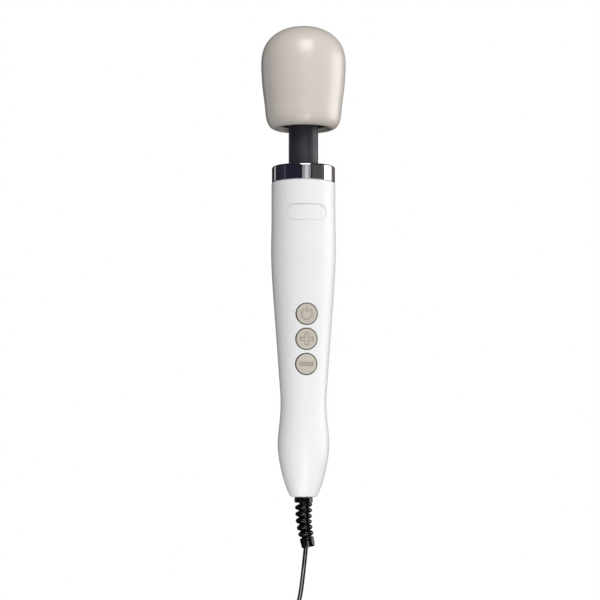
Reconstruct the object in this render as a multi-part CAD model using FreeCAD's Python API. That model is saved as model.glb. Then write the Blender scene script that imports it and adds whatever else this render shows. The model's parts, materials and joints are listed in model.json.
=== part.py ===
import FreeCAD, Part
import math
import os

from FreeCAD import Placement, Rotation, Vector

# Handheld wand massager with a low-voltage lead, lying on a surface.
#
# Wand frame: the wand's axis is Y, with the cord end of the handle at Y = 0
# and the top of the head at Y = 338.8. The buttons face +Z. Stations are places
# along Y, and every outline is a list of (station, radius) pairs.
# Row frame: the surface is Z = 0, and the wand lies on its head and on the
# bulge of its handle, so its axis is tilted a little. All sizes are in mm.

# ---- handle shell
WALL = 2.2
TAIL_WALL = 2.6
BODY_END = 224.9
SPIGOT_R = 19.4
SPIGOT_END = 233.0
SPIGOT_BORE = 17.2
FRONT_WALL_Y = 230.0
FRONT_HOLE_R = 8.5
TAIL_HOLE_R = 5.0
SEAM_GAP = 0.15
TONGUE_DEPTH = 1.5
TONGUE_THICK = 0.9
TAIL_FLAT_R = 8.2
TAIL_EDGE = [(0.0, TAIL_FLAT_R), (0.55, 9.4), (1.8, 10.2)]
HANDLE_OUTLINE = [
    (1.8, 10.2), (6.4, 12.25), (15.0, 14.95), (28.0, 17.65), (39.0, 18.35),
    (54.0, 17.05), (67.0, 16.35), (80.0, 17.05), (106.0, 18.95), (132.0, 20.9),
    (158.0, 22.7), (173.0, 23.25), (190.0, 23.1), (206.0, 23.0),
]
BODY_R = 23.0
BODY_EDGE = 1.0

# ---- buttons and the board under them
BUTTON_Y = 111.4
BUTTON_PITCH = 17.73
BUTTON_R = 7.4
BUTTON_HOLE_R = 7.85
BUTTON_EDGE = 0.4
BUTTON_HOLE_EDGE = 0.3
BUTTON_PROUD = 0.35
SYMBOL_DEPTH = 0.3
BUTTON_FLANGE_R = 8.75
BUTTON_POCKET_R = 9.05
BUTTON_SEAT = -3.6
PLUNGER_TOP = -5.6
SWITCH_TOP = -7.1
BOARD_TOP = -10.5
BOARD_THICK = 1.6
BOARD_WIDTH = 20.0
BOARD_LENGTH = 64.0
BOARD_SCREWS = [(x, y) for x in (-7.5, 7.5) for y in (-28.0, 28.0)]
BUTTONS = {"power": BUTTON_PITCH, "plus": 0.0, "minus": -BUTTON_PITCH}

# ---- blank badge recess
BADGE_Y = 201.5
BADGE_WIDTH = 29.0
BADGE_HEIGHT = 12.0
BADGE_DEPTH = 0.2
BADGE_GROOVE_WIDTH = 0.8
BADGE_GROOVE_DEPTH = 0.65

# ---- case screws: (x, station)
CASE_SCREWS = [(-8.5, 30.0), (8.5, 30.0), (-12.5, 149.0), (12.5, 149.0)]

# ---- cord clamp, screwed to the rear shell
CLAMP_Y = 16.0
CLAMP_TOP = 1.9
CLAMP_SCREWS = (-6.5, 6.5)

# ---- collar, neck and head
COLLAR_R = 22.7
COLLAR_END = 236.7
COLLAR_LIP_Y = 234.6
COLLAR_EDGE = 1.2
NECK_R = 10.65
NECK_BORE = 7.2
NECK_GAP = 0.2
NECK_START = 233.1
NECK_TOP = 273.5
HEAD_START = 264.6
HEAD_WALL = 2.6
HEAD_OPENING_R = 19.5
HEAD_RIM_R = 21.0
HEAD_OUTLINE = [
    (HEAD_START, HEAD_RIM_R), (266.0, 24.0), (269.6, 26.2), (280.0, 27.8),
    (292.5, 29.4), (304.0, 30.35), (312.0, 30.6), (319.0, 29.9),
    (325.0, 27.9), (331.2, 23.2), (335.2, 17.6), (338.0, 10.0), (338.8, 0.0),
]
HEAD_RING_Y = 268.2
CORE_BOTTOM = 273.6
CORE_SPLIT = 299.0
CORE_GAP = 0.15
CORE_CAVITY_R = 17.5

# ---- motor
MOTOR_R = 17.9
MOTOR_WALL = 1.6
MOTOR_BACK = 158.0
MOTOR_FRONT = 207.0
SHAFT_R = 1.5875
SHAFT_END = 224.0
BUSH_R = 3.2
RUNNING_GAP = 0.04
ARMATURE_R = 11.6
ARMATURE_SLOTS = 7
MAGNET_IN = 12.2
MAGNET_OUT = 16.25

# ---- eccentric in the head
STUB_R = 2.0
AXLE_R = 3.0
BEARING_STATIONS = [(275.0, 281.0), (311.0, 317.0)]
BEARING_OUT = 9.5
BALL_R = 1.3
BALL_CIRCLE = 6.25
BALL_COUNT = 7
WEIGHT_R = 15.0

# ---- drive spring between motor and eccentric
SPRING_R = 4.35
SPRING_WIRE = 0.9
SPRING_SPAN = (222.6, 266.0)
SPRING_TURNS = 15
GRUB_R = 1.5

# ---- strain relief
RELIEF_SHIFT = 2.8
RELIEF_ROUTE = [(0.0, 5.0), (0.0, -9.0), (RELIEF_SHIFT, -27.0), (RELIEF_SHIFT, -35.4)]
RELIEF_MOUTH = -35.4
RELIEF_RIBS = 5
RELIEF_RIB_PITCH = 4.75
RELIEF_RIB_START = -8.4

# ---- cord, in the row frame
TAIL_Y = -151.8
CORD_R = 1.6
CORD_ROUTE = [
    (2.2, -182.2, 15.2),
    (1.1, -194.0, 14.2),
    (-0.1, -208.0, 10.6),
    (-1.3, -222.0, 5.2),
    (-5.0, -236.0, 1.8),
    (-12.6, -248.4, 1.6),
    (-18.4, -261.5, 1.6),
]
CORD_END_ROUTE = [
    (-15.2, -261.5, 11.2),
    (-15.8, -274.5, 12.6),
    (-16.8, -287.0, 8.4),
    (-17.6, -298.5, 5.3),
    (-17.9, -309.0, 5.0),
]
COIL_X = 4.0
COIL_Y = -261.5
COIL_IN = 11.2
COIL_OUT = 24.0
COIL_HEIGHT = 12.8
TIE_WIDTH = 8.0
TIE_THICK = 0.8
ARC_SHARE = 0.45

# ---- low-voltage plug, 5.5 x 2.1 mm, in the row frame
PLUG_X = -17.9
PLUG_Z = 5.0
PLUG_BACK = -309.0
PLUG_BODY_BACK = -317.0
PLUG_BODY_FRONT = -337.0
PLUG_TIP = -346.5
PLUG_BODY_R = 5.0
PLUG_SLEEVE_R = 2.75
PLUG_ROOT_R = 2.5
PLUG_SLEEVE_BORE = 2.2
PLUG_CONTACT_R = 1.45
PLUG_PIN_BORE = 1.05
PLUG_PIN_DEPTH = 8.8

Y_AXIS = Vector(0, 1, 0)
Z_AXIS = Vector(0, 0, 1)


# ---------------------------------------------------------------- helpers
def flat(point):
    """A (station, radius) pair as a point of the X-Y plane."""
    return Vector(point[1], point[0], 0)


def line(a, b):
    return Part.LineSegment(flat(a), flat(b)).toShape()


def arc(a, middle, b):
    return Part.Arc(flat(a), flat(middle), flat(b)).toShape()


def spline(points, start, end):
    """A smooth curve through (station, radius) points, with end directions."""
    curve = Part.BSplineCurve()
    curve.interpolate(
        Points=[flat(p) for p in points],
        InitialTangent=flat(start).normalize(),
        FinalTangent=flat(end).normalize(),
        Scale=False,
    )
    return curve


def inset_points(points, curve, inset):
    """The points of a curve that runs up the wand, moved inwards along its normals."""
    moved = []
    for p in points:
        along = curve.tangent(curve.parameter(flat(p)))[0]
        place = flat(p) + Vector(-along.y, along.x, 0) * inset
        moved.append((place.y, place.x))
    return moved


def revolved(edges):
    """The solid that closed edges in the X-Y plane sweep about the Y axis."""
    face = Part.Face(Part.Wire(edges))
    return face.revolve(Vector(), Y_AXIS, 360)


def rod(start, end, radius, x=0.0, z=0.0):
    """A cylinder along Y from one station to another."""
    return Part.makeCylinder(radius, end - start, Vector(x, start, z), Y_AXIS)


def ring(start, end, outer, inner):
    return rod(start, end, outer).cut(rod(start - 1, end + 1, inner))


def post(x, y, low, high, radius):
    """A cylinder along Z."""
    return Part.makeCylinder(radius, high - low, Vector(x, y, low), Z_AXIS)


def block(x, y, z):
    """A box from three (low, high) pairs."""
    size = [high - low for low, high in (x, y, z)]
    return Part.makeBox(*size, Vector(x[0], y[0], z[0]))


def united(shapes):
    whole = shapes[0].fuse(shapes[1:]) if len(shapes) > 1 else shapes[0]
    return whole.removeSplitter()


def group(shapes):
    """Separate solids that share a node."""
    return Part.makeCompound(shapes)


def turned(shape, degrees):
    """A copy turned about the wand's axis."""
    copy = shape.copy()
    copy.rotate(Vector(), Y_AXIS, degrees)
    return copy


def prism(points, low, high):
    """A straight-sided prism along Z over a closed outline of (x, y) points."""
    wire = Part.makePolygon([Vector(x, y, low) for x, y in points + points[:1]])
    return Part.Face(wire).extrude(Vector(0, 0, high - low))


def rounded_path(points, share=ARC_SHARE):
    """Straight runs joined by tangent arcs, and the arcs' radii."""
    spots = [Vector(*p) for p in points]
    edges, radii, start = [], [], spots[0]
    for before, corner, after in zip(spots, spots[1:], spots[2:]):
        back = before - corner
        ahead = after - corner
        half = (math.pi - back.getAngle(ahead)) / 2
        reach = share * min(back.Length, ahead.Length)
        radii.append(reach / math.tan(half))
        a = corner + back.normalize() * reach
        b = corner + ahead.normalize() * reach
        rise = radii[-1] * (1 / math.cos(half) - 1)
        middle = corner + (a + b - corner * 2).normalize() * rise
        edges.append(Part.LineSegment(start, a).toShape())
        edges.append(Part.Arc(a, middle, b).toShape())
        start = b
    edges.append(Part.LineSegment(start, spots[-1]).toShape())
    return Part.Wire(edges), radii


def tube(points, radius, name=None):
    """A round bar along a path; with a name, its radii and volume are printed."""
    path, radii = rounded_path(points)
    heading = Vector(*points[1]) - Vector(*points[0])
    circle = Part.makeCircle(radius, Vector(*points[0]), heading)
    solid = path.makePipeShell([Part.Wire(circle)], True, False)
    if name:
        expected = math.pi * radius**2 * path.Length
        print(name, "radii", [round(r, 1) for r in radii])
        print(name, "length", round(path.Length, 1), "volume ratio",
              round(solid.Volume / expected, 4))
    return solid


# ---------------------------------------------------------------- handle
def handle_curve():
    return spline(HANDLE_OUTLINE, (1.0, 0.5), (1.0, 0.0))


def handle_solid(inset):
    """The handle's outer form, moved inwards by inset."""
    curve = handle_curve()
    points = inset_points(HANDLE_OUTLINE, curve, inset) if inset else HANDLE_OUTLINE
    if inset > 0:
        points = points[1:]
        front = FRONT_WALL_Y - 0.5 * (WALL - inset)
        tail = TAIL_WALL - 0.5 * (WALL - inset)
        first = points[0]
        shoulder = BODY_END - 2.0
        neck_r = SPIGOT_BORE
        edges = [
            line((tail, 0), (tail, first[1] - 2.2)),
            line((tail, first[1] - 2.2), first),
            spline(points, (1.0, 0.45), (1.0, 0.0)).toShape(),
            line(points[-1], (shoulder, points[-1][1])),
            line((shoulder, points[-1][1]), (shoulder, neck_r)),
            line((shoulder, neck_r), (front, neck_r)),
            line((front, neck_r), (front, 0)),
            line((front, 0), (tail, 0)),
        ]
        return revolved(edges)
    body_r = BODY_R - inset
    rise = BODY_EDGE * (1 - math.sqrt(0.5))
    edge_start = (BODY_END - BODY_EDGE, body_r)
    edge_middle = (BODY_END - rise, body_r - rise)
    edge_end = (BODY_END, body_r - BODY_EDGE)
    tail_edge = [(y, r - inset) for y, r in TAIL_EDGE]
    edges = [
        line((0, 0), tail_edge[0]),
        arc(*tail_edge),
        spline([tail_edge[-1]] + points[1:], (1.0, 0.5), (1.0, 0.0)).toShape(),
        line(points[-1], edge_start),
        arc(edge_start, edge_middle, edge_end),
        line(edge_end, (BODY_END, SPIGOT_R)),
        line((BODY_END, SPIGOT_R), (SPIGOT_END, SPIGOT_R)),
        line((SPIGOT_END, SPIGOT_R), (SPIGOT_END, 0)),
        line((SPIGOT_END, 0), (0, 0)),
    ]
    return revolved(edges)


def button_frame():
    """Placement of the button group: its origin on the shell, +Z outward."""
    curve = handle_curve()
    guess = Vector(19.1, BUTTON_Y, 0)
    for _ in range(4):
        at = curve.value(curve.parameter(guess))
        guess = Vector(at.x, BUTTON_Y, 0)
    along = curve.tangent(curve.parameter(guess))[0]
    slope = math.degrees(math.atan2(along.x, along.y))
    return Placement(Vector(0, BUTTON_Y, guess.x), Rotation(Vector(1, 0, 0), slope))


def top_edges(shape, offset):
    """The edges of a shape near the shell's surface and round one button."""
    spot = button_frame().multVec(Vector(0, offset, 0))
    reach = BUTTON_HOLE_R + 0.5
    near = []
    for edge in shape.Edges:
        places = [edge.valueAt(p) for p in edge.ParameterRange]
        places.append(edge.valueAt(sum(edge.ParameterRange) / 2))
        if all(BUTTON_R - 1 < p.distanceToPoint(spot) < reach and p.z > spot.z - 3 for p in places):
            near.append(edge)
    return near


def on_buttons(shape):
    """A shape made in the button group's frame, moved to its place."""
    copy = shape.copy()
    copy.Placement = button_frame().multiply(copy.Placement)
    return copy


def badge_plate(inset, depth):
    """A plate with round ends from above the shell to a depth in it, following the shell."""
    r = BADGE_HEIGHT / 2 - inset
    half = (BADGE_WIDTH - BADGE_HEIGHT) / 2
    bar = block((-half, half), (BADGE_Y - r, BADGE_Y + r), (0, 30))
    ends = [post(x, BADGE_Y, 0, 30, r) for x in (-half, half)]
    skin = ring(BADGE_Y - 10, BADGE_Y + 10, BODY_R + 2, BODY_R - depth)
    return united([bar] + ends).common(skin)


def badge_cut():
    """A plain, shallow recess with a deeper groove inside its edge."""
    groove = badge_plate(0, BADGE_GROOVE_DEPTH).cut(
        badge_plate(BADGE_GROOVE_WIDTH, BADGE_GROOVE_DEPTH + 1))
    return badge_plate(0, BADGE_DEPTH).fuse(groove)


def motor_ribs():
    """Rings inside the shell that hold the motor and its rubber mounts."""
    stations = [(158.2, 159.6), (168.0, 169.4), (194.0, 195.4), (204.0, 205.4)]
    ribs = [ring(a, b, 21.6, MOTOR_R + 0.5) for a, b in stations]
    ribs.append(ring(208.4, 210.0, 21.6, 14.5))
    return ribs


def bare_shell():
    hollow = handle_solid(0).cut(handle_solid(WALL))
    ribs = [rib.common(handle_solid(0.5)) for rib in motor_ribs()]
    shell = hollow.fuse(ribs)
    shell = shell.cut(rod(-1, TAIL_WALL + 1, TAIL_HOLE_R))
    return shell.cut(rod(FRONT_WALL_Y - 1, SPIGOT_END + 1, FRONT_HOLE_R))


def seam_band(inset, depth):
    """A band below the seam between the cavity and a shallower inset."""
    band = handle_solid(inset).cut(handle_solid(WALL))
    slab = block((-30, 30), (8, BODY_END - 4), (-depth, 0.1))
    return band.common(slab)


def front_shell():
    """Button side of the handle, with its bosses and a tongue for the seam."""
    shell = bare_shell().common(block((-40, 40), (-5, 240), (SEAM_GAP / 2, 40)))
    envelope = handle_solid(0.6)
    shell = shell.fuse(seam_band(WALL - TONGUE_THICK, TONGUE_DEPTH))
    stiff = [on_buttons(post(0, y, BUTTON_SEAT, 1, 10.4)) for y in BUTTONS.values()]
    stiff += [on_buttons(post(x, y, BOARD_TOP, 1, 2.4)) for x, y in BOARD_SCREWS]
    stiff += [post(x, y, SEAM_GAP / 2, 30, 3.2) for x, y in CASE_SCREWS]
    shell = shell.fuse([s.common(envelope) for s in stiff])
    cuts = [badge_cut()]
    for y in BUTTONS.values():
        cuts.append(on_buttons(post(0, y, -8, BUTTON_SEAT, BUTTON_POCKET_R)))
        cuts.append(on_buttons(post(0, y, -8, 5, BUTTON_HOLE_R)))
    for x, y in BOARD_SCREWS:
        cuts.append(on_buttons(post(x, y, BOARD_TOP - 1, BOARD_TOP + 5, 1.0)))
    cuts += [post(x, y, -1, 8, 1.25) for x, y in CASE_SCREWS]
    shell = shell.cut(cuts).removeSplitter()
    rims = [e for y in BUTTONS.values() for e in top_edges(shell, y)]
    return shell.makeFillet(BUTTON_HOLE_EDGE, rims)


def rear_shell():
    """Back of the handle, with deep counterbores for the case screws."""
    shell = bare_shell().common(block((-40, 40), (-5, 240), (-40, -SEAM_GAP / 2)))
    envelope = handle_solid(0.6)
    bosses = [post(x, y, -30, -SEAM_GAP / 2, 4.8) for x, y in CASE_SCREWS]
    bosses += [post(x, CLAMP_Y, -30, -1.75, 2.4) for x in CLAMP_SCREWS]
    shell = shell.fuse([b.common(envelope) for b in bosses])
    cuts = [seam_band(WALL - TONGUE_THICK - 0.1, TONGUE_DEPTH + 0.2)]
    for x, y in CASE_SCREWS:
        cuts.append(post(x, y, -30, -9, 3.1))
        cuts.append(post(x, y, -10, 1, 1.6))
    cuts += [post(x, CLAMP_Y, -5.5, 0, 1.0) for x in CLAMP_SCREWS]
    return shell.cut(cuts).removeSplitter()


def screw(x, y, seat, tip, head_r, head, shank_r, up=True):
    """A pan-head screw along Z, with a cross recess in its head."""
    sign = 1 if up else -1
    low, high = sorted((seat - sign * head, seat))
    body = post(x, y, low, high, head_r)
    low, high = sorted((seat, tip))
    body = body.fuse(post(x, y, low, high, shank_r))
    outside = seat - sign * head
    z = sorted((outside - sign, outside + sign * head * 0.5))
    arm = head_r * 0.62
    cross = block((x - arm, x + arm), (y - 0.3, y + 0.3), z)
    cross = cross.fuse(block((x - 0.3, x + 0.3), (y - arm, y + arm), z))
    return body.cut(cross)


def case_screws():
    return group([screw(x, y, -9, 7, 2.8, 2.0, 1.25) for x, y in CASE_SCREWS])


# ---------------------------------------------------------------- buttons
def power_symbol():
    sign = post(0, 0, -3, 3, 4.3).cut(post(0, 0, -3, 3, 3.2))
    opening = prism([(0, 0), (-4, 7), (4, 7)], -3, 3)
    bar = block((-0.55, 0.55), (1.4, 5.0), (-3, 3))
    return sign.cut(opening).fuse(bar)


def plus_symbol():
    across = block((-4.75, 4.75), (-1.45, 1.45), (-3, 3))
    return across.fuse(block((-1.45, 1.45), (-4.55, 4.55), (-3, 3)))


def minus_symbol():
    return block((-4.85, 4.85), (-1.35, 1.35), (-3, 3))


def button(offset, symbol):
    """A cap that follows the shell, with a flange that keeps it in its hole."""
    cap = on_buttons(post(0, offset, -3.7, 3, BUTTON_R))
    cap = cap.common(handle_solid(-BUTTON_PROUD))
    cap = cap.makeFillet(BUTTON_EDGE, top_edges(cap, offset))
    mark = on_buttons(symbol.translated(Vector(0, offset, 0)))
    cap = cap.cut(mark.cut(handle_solid(SYMBOL_DEPTH - BUTTON_PROUD)))
    flange = on_buttons(post(0, offset, -4.7, -3.7, BUTTON_FLANGE_R))
    hollow = on_buttons(post(0, offset, -5, -1.7, 6.2))
    stem = on_buttons(post(0, offset, PLUNGER_TOP, -1.5, 2.0))
    return cap.fuse(flange).cut(hollow).fuse(stem).removeSplitter()


def plunger(offset):
    return on_buttons(post(0, offset, SWITCH_TOP - 0.8, PLUNGER_TOP, 1.7))


def tactile_switches():
    switches = []
    for y in BUTTONS.values():
        body = block((-3, 3), (y - 3, y + 3), (BOARD_TOP, SWITCH_TOP))
        body = body.cut(post(0, y, SWITCH_TOP - 1.5, SWITCH_TOP + 1, 1.78))
        switches.append(on_buttons(body))
    return group(switches)


# ---------------------------------------------------------------- board
def under_board(x, y, depth):
    """A box that hangs below the board, from (low, high) pairs."""
    low = BOARD_TOP - BOARD_THICK
    return on_buttons(block(x, y, (low - depth, low)))


def control_board():
    half = BOARD_LENGTH / 2
    low = BOARD_TOP - BOARD_THICK
    board = block((-BOARD_WIDTH / 2, BOARD_WIDTH / 2), (-half, half), (low, BOARD_TOP))
    holes = [post(x, y, low - 1, BOARD_TOP + 1, 1.3) for x, y in BOARD_SCREWS]
    return on_buttons(board.cut(holes))


def small_screws():
    """The identical screws of the board and of the cord clamp."""
    seat = BOARD_TOP - BOARD_THICK
    screws = [on_buttons(screw(x, y, seat, seat + 6.5, 2.1, 1.4, 1.0))
              for x, y in BOARD_SCREWS]
    for x in CLAMP_SCREWS:
        screws.append(screw(x, CLAMP_Y, CLAMP_TOP, CLAMP_TOP - 6.5, 2.1, 1.4, 1.0, up=False))
    return group(screws)


def controller_chip():
    return under_board((-3.5, 3.5), (-9.5, -2.5), 1.2)


def power_transistors():
    spots = [(-8.5, -2.0), (2.0, 8.5)]
    return group([under_board(x, (-20, -13.5), 2.3) for x in spots])


def board_capacitors():
    low = BOARD_TOP - BOARD_THICK
    spots = [(-4.6, 12.0), (4.6, 12.0)]
    return group([on_buttons(post(x, y, low - 11, low, 4.0)) for x, y in spots])


def board_connectors():
    return group([under_board((-4, 4), (y - 3, y + 3), 6) for y in (-28, 28)])


# ---------------------------------------------------------------- cord end
def relief_point(station, side=0.0):
    """A place on the strain relief's bent axis, as (x, y, z)."""
    (x0, y0), (x1, y1) = RELIEF_ROUTE[1:3]
    share = min(max((y0 - station) / (y0 - y1), 0), 1)
    return (x0 + (x1 - x0) * share + side, station, 0)


def tapered_core():
    """The relief's body: short cones along its bent axis."""
    stations = [-3.6, -9.0, -15.0, -21.0, -27.0, -29.4]
    radii = [3.7, 3.5, 3.25, 3.0, 2.8, 2.8]
    rings = []
    for station, r in zip(stations, radii):
        centre = Vector(*relief_point(station))
        rings.append(Part.Wire(Part.makeCircle(r, centre, Y_AXIS)))
    return Part.makeLoft(rings, True, True)


def strain_relief():
    """Moulded relief: a flange in the shell, a collar, slanted ribs, a sleeve."""
    pieces = [
        rod(TAIL_WALL + 0.05, 4.9, 7.0),
        rod(-0.1, TAIL_WALL + 0.1, TAIL_HOLE_R - 0.05),
        rod(-4.2, -0.05, 6.5),
        tapered_core(),
    ]
    for k in range(RELIEF_RIBS):
        station = RELIEF_RIB_START - k * RELIEF_RIB_PITCH
        radius = 6.3 - 0.15 * k
        centre = Vector(*relief_point(station))
        lean = Vector(-math.sin(math.radians(12)), math.cos(math.radians(12)), 0)
        pieces.append(Part.makeCylinder(radius, 1.8, centre - lean * 0.9, lean))
    pieces.append(rod(RELIEF_MOUTH, -28.8, 4.75, x=RELIEF_SHIFT))
    relief = united(pieces)
    bore = tube([(x, y, 0) for x, y in [(0, 6), (0, -9), (2.4, -26.5), (2.2, -31)]], CORD_R)
    mouth = rod(RELIEF_MOUTH - 1, -30.4, 3.3, x=RELIEF_SHIFT - 0.3)
    return relief.cut(bore).cut(mouth)


def cord_inner():
    """The cord inside the strain relief, as far as its clamp."""
    return tube([(0, 22, 0), (0, -9, 0), (2.4, -26.5, 0), (2.2, -30.4, 0)], CORD_R)


def cord_clamp():
    bar = block((-9, 9), (CLAMP_Y - 3.5, CLAMP_Y + 3.5), (-1.7, CLAMP_TOP))
    holes = [post(x, CLAMP_Y, -3, 3, 1.3) for x in CLAMP_SCREWS]
    return bar.cut(holes + [rod(10, 22, CORD_R)])


def board_leads():
    """Two wires from the cord to the board, and two from the board to the motor."""
    leads = []
    for side in (-1, 1):
        from_cord = [(0.75 * side, 22.0, 0), (1.6 * side, 34, -2.5),
                     (1.9 * side, 50, -3.2), (1.6 * side, 66, -0.6),
                     (1.5 * side, 81.7, 1.9)]
        leads.append(tube(from_cord, 0.7))
    leads.append(tube([(1.5, 143.6, 6.5), (1.5, 146.9, 7.6), (0.6, 150.4, 10.8)], 0.7))
    leads.append(tube([(-1.5, 143.6, 6.5), (-2.6, 147.2, 2.4), (-2.2, 148.6, -5.0),
                       (-0.4, 150.4, -10.8)], 0.7))
    return group(leads)


# ---------------------------------------------------------------- motor
def motor_can():
    tubular = ring(MOTOR_BACK, MOTOR_FRONT, MOTOR_R, MOTOR_R - MOTOR_WALL)
    face = ring(MOTOR_FRONT - MOTOR_WALL, MOTOR_FRONT, MOTOR_R - 0.5, BUSH_R)
    boss = ring(MOTOR_FRONT - 0.5, MOTOR_FRONT + 4.5, 6.5, BUSH_R)
    vents = []
    for angle in (0, 120, 240):
        slot = block((9, 13.5), (MOTOR_FRONT - 3, MOTOR_FRONT + 2), (-3, 3))
        vents.append(turned(slot, angle))
    return united([tubular, face, boss]).cut(vents)


def motor_end_cap():
    plate = ring(MOTOR_BACK - 3, MOTOR_BACK, MOTOR_R, BUSH_R)
    spigot = ring(MOTOR_BACK, MOTOR_BACK + 1, MOTOR_R - MOTOR_WALL, 13.5)
    boss = ring(MOTOR_BACK - 7.5, MOTOR_BACK - 2.9, 5.5, BUSH_R)
    return united([plate, spigot, boss])


def motor_terminals():
    y = MOTOR_BACK - 3
    return group([block((-1.4, 1.4), (y - 4, y), (z - 0.4, z + 0.4)) for z in (-11, 11)])


def motor_bushes():
    bore = SHAFT_R + RUNNING_GAP
    return group([
        ring(MOTOR_FRONT - 1.4, MOTOR_FRONT + 4.3, BUSH_R, bore),
        ring(MOTOR_BACK - 7.3, MOTOR_BACK - 0.2, BUSH_R, bore),
    ])


def field_magnets():
    ring_part = ring(168, 196, MAGNET_OUT, MAGNET_IN)
    wedge = prism([(0, 0), (30, -53), (30, 53)], 168, 196)
    wedge.rotate(Vector(), Vector(1, 0, 0), -90)
    first = ring_part.common(wedge)
    return group([first, turned(first, 180)])


def brush_holders():
    holders = []
    for angle in (0, 180):
        case = block((6.4, 13.0), (MOTOR_BACK, 164.0), (-2.7, 2.7))
        case = case.cut(block((5, 14), (160.0, 163.4), (-2.0, 2.0)))
        holders.append(turned(case, angle))
    return group(holders)


def brushes():
    blocks = []
    for angle in (0, 180):
        carbon = block((4.0, 10.5), (160.05, 163.35), (-1.95, 1.95))
        carbon = carbon.cut(rod(155, 170, 4.7))
        blocks.append(turned(carbon, angle))
    return group(blocks)


def motor_mounts():
    """Two rubber rings between the motor and the shell."""
    return group([
        ring(159.8, 167.8, 20.1, MOTOR_R),
        ring(195.6, 203.8, 20.4, MOTOR_R),
    ])


def motor_shaft():
    return rod(MOTOR_BACK - 7, SHAFT_END, SHAFT_R)


def slot_bars(radius, start, end, reach):
    """Bars at the armature's slots."""
    bars = []
    for k in range(ARMATURE_SLOTS):
        bars.append(turned(rod(start, end, radius, x=reach), 360 * k / ARMATURE_SLOTS))
    return bars


def armature_core():
    core = ring(170, 192, ARMATURE_R, SHAFT_R)
    throats = []
    for k in range(ARMATURE_SLOTS):
        throat = block((8.2, 13), (169, 193), (-0.7, 0.7))
        throats.append(turned(throat, 360 * k / ARMATURE_SLOTS))
    return core.cut(slot_bars(1.95, 169, 193, 8.4) + throats)


def armature_windings():
    """Copper bars in the slots, joined by the end turns."""
    ends = [ring(165.4, 170, 10.6, 4.2), ring(192, 196.6, 10.6, 4.2)]
    return united(ends + slot_bars(1.85, 169.5, 192.5, 8.4))


def commutator():
    barrel = ring(159.2, 165.0, 4.6, SHAFT_R)
    gaps = []
    for k in range(ARMATURE_SLOTS):
        gap = block((3.6, 6), (159, 164.2), (-0.2, 0.2))
        gaps.append(turned(gap, 360 * (k + 0.5) / ARMATURE_SLOTS))
    return barrel.cut(gaps)


def grub_hole(station):
    return post(0, station, 0, 8, GRUB_R)


def grub_screw(station, seat):
    """A headless screw on a shaft, along +Z."""
    return post(0, station, seat, 5.0, GRUB_R)


def motor_coupling():
    hub = ring(213, 221.5, 5.6, SHAFT_R).fuse(ring(221, 229, 3.4, SHAFT_R))
    return hub.removeSplitter().cut(grub_hole(217))


def motor_coupling_screw():
    return grub_screw(217, SHAFT_R)


def drive_spring():
    """A close-wound spring over the noses of both couplings."""
    start, end = SPRING_SPAN
    pitch = (end - start) / SPRING_TURNS
    helix = Part.makeHelix(pitch, end - start, SPRING_R)
    circle = Part.makeCircle(SPRING_WIRE, Vector(SPRING_R, 0, 0), Y_AXIS)
    spring = Part.Wire(helix.Edges).makePipeShell([Part.Wire(circle)], True, True)
    spring.rotate(Vector(), Vector(1, 0, 0), -90)
    return spring.translated(Vector(0, start, 0))


# ---------------------------------------------------------------- collar and neck
def collar_ring():
    e = COLLAR_EDGE
    rise = e * (1 - math.sqrt(0.5))
    inner = SPIGOT_R + 0.05
    hole = NECK_R + NECK_GAP
    r = COLLAR_R
    small = 0.5
    edges = [
        line((BODY_END, inner), (BODY_END, r - small)),
        line((BODY_END, r - small), (BODY_END + small, r)),
        line((BODY_END + small, r), (COLLAR_END - e, r)),
        arc((COLLAR_END - e, r), (COLLAR_END - rise, r - rise), (COLLAR_END, r - e)),
        line((COLLAR_END, r - e), (COLLAR_END, hole + small)),
        line((COLLAR_END, hole + small), (COLLAR_END - small, hole)),
        line((COLLAR_END - small, hole), (COLLAR_LIP_Y, hole)),
        line((COLLAR_LIP_Y, hole), (COLLAR_LIP_Y, inner)),
        line((COLLAR_LIP_Y, inner), (BODY_END, inner)),
    ]
    return revolved(edges)


def neck_sleeve():
    """Flexible rubber neck with a flange at each end."""
    tubular = ring(NECK_START, NECK_TOP - 0.05, NECK_R, NECK_BORE)
    lower = ring(NECK_START, COLLAR_LIP_Y - 0.1, 17.0, NECK_BORE)
    upper = ring(271.3, NECK_TOP - 0.05, 13.3, NECK_BORE)
    return united([tubular, lower, upper])


# ---------------------------------------------------------------- head
def head_curve():
    return spline(HEAD_OUTLINE, (0.0, 1.0), (0.0, -1.0))


def head_solid(inset, start):
    """The head's form moved inwards by inset, from a station upwards."""
    curve = head_curve()
    points = inset_points(HEAD_OUTLINE, curve, inset) if inset else HEAD_OUTLINE
    points = points[:-1] + [(points[-1][0], 0.0)]
    if inset:
        points = points[1:]
    base = points[0]
    edges = [
        line((base[0], 0), base),
        spline(points, (0.2, 1.0) if inset else (0.0, 1.0), (0.0, -1.0)).toShape(),
        line(points[-1], (base[0], 0)),
    ]
    body = revolved(edges)
    return body.common(block((-40, 40), (start, 345), (-40, 40)))


def head_cap():
    """The outer cap: open below, where the neck goes in."""
    cap = head_solid(0, HEAD_START).cut(head_solid(HEAD_WALL, HEAD_START + HEAD_WALL))
    return cap.cut(rod(HEAD_START - 1, HEAD_START + 10, HEAD_OPENING_R))


def head_base_ring():
    """The black ring inside the opening, which holds the neck's flange."""
    plate = ring(HEAD_RING_Y, CORE_BOTTOM, HEAD_OPENING_R - 0.1, NECK_R + NECK_GAP)
    plate = plate.cut(rod(271.2, CORE_BOTTOM + 1, 13.5))
    return plate.cut(head_screw_set(2.4, 1.3, 0.2))


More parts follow.
